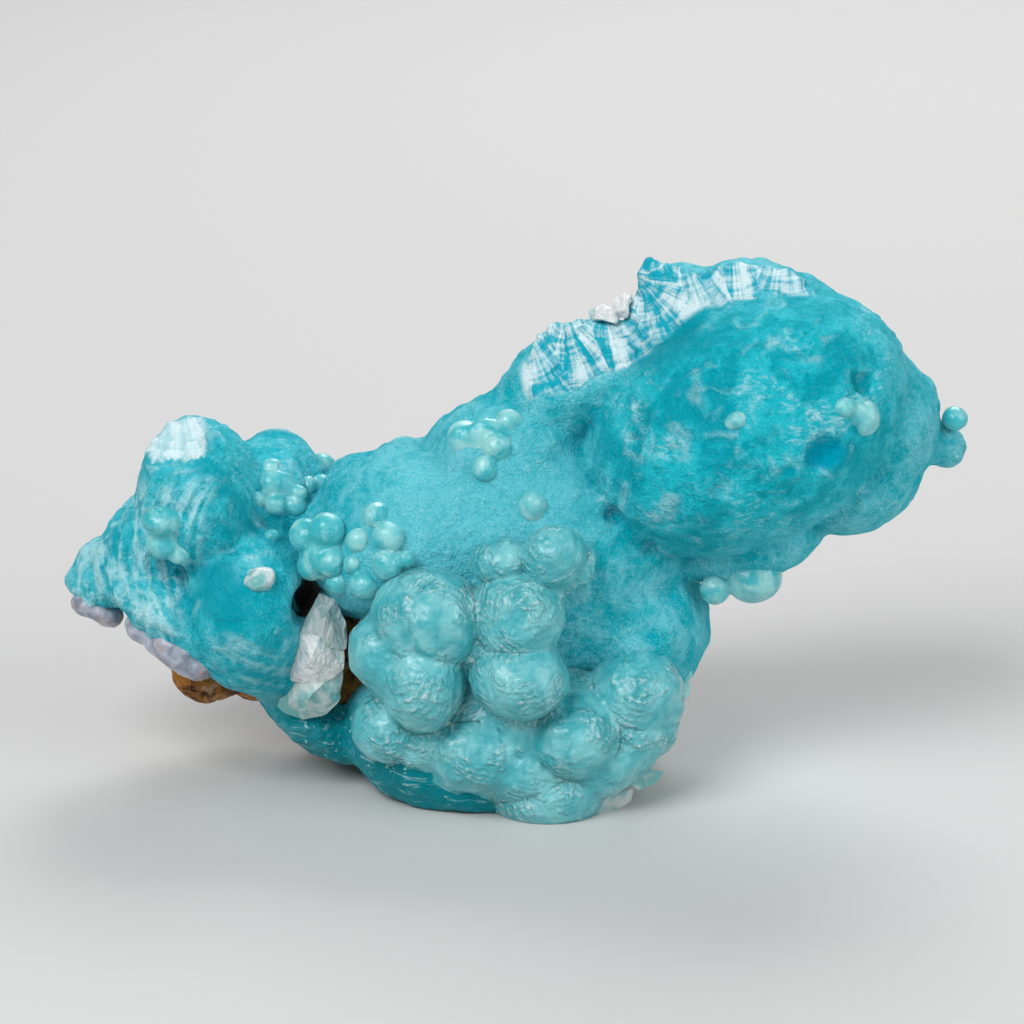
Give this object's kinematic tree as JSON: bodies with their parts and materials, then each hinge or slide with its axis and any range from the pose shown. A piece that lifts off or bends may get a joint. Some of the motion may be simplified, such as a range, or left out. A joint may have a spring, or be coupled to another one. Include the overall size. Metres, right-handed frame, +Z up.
{
  "type": "smithsonite specimen",
  "caption": "Mineral specimen of blue velvety and green grape-like smithsonite on rough brown rock, standing on a flat trimmed foot.",
  "frame": {"origin": "on the flat foot that the rock was trimmed to, near its middle", "axes": "+X to the right as the display face is seen, +Y away from the viewer, +Z up"},
  "size_m": [0.092, 0.0404, 0.0534],
  "materials": {
    "brown_rock": "rough",
    "blue_velvet": "velvety matte",
    "green_botryoids": "waxy, translucent",
    "green_beads": "glassy, translucent",
    "white_calcite": "glassy, broken",
    "grey_chalcedony": "waxy"
  },
  "bodies": {
    "root": {"host_rock": "brown_rock", "blue_crust": "blue_velvet", "keel_botryoids": "green_botryoids", "dome_beads": "green_beads", "dome_right_beads": "green_beads", "notch_beads": "green_beads", "crease_bead": "green_beads", "left_lobe_beads": "green_beads", "left_lobe_crystal": "white_calcite", "ridge_beads": "green_beads", "saddle_bead": "green_beads", "right_lobe_flat_bead": "green_beads", "right_lobe_beads": "green_beads", "tip_bead": "green_beads", "lower_right_beads": "green_beads", "keel_edge_beads": "green_beads", "broken_crystal": "white_calcite", "chalcedony_seam": "grey_chalcedony", "chalcedony_tip": "grey_chalcedony", "quartz_druse": "white_calcite"}
  },
  "joints": []
}
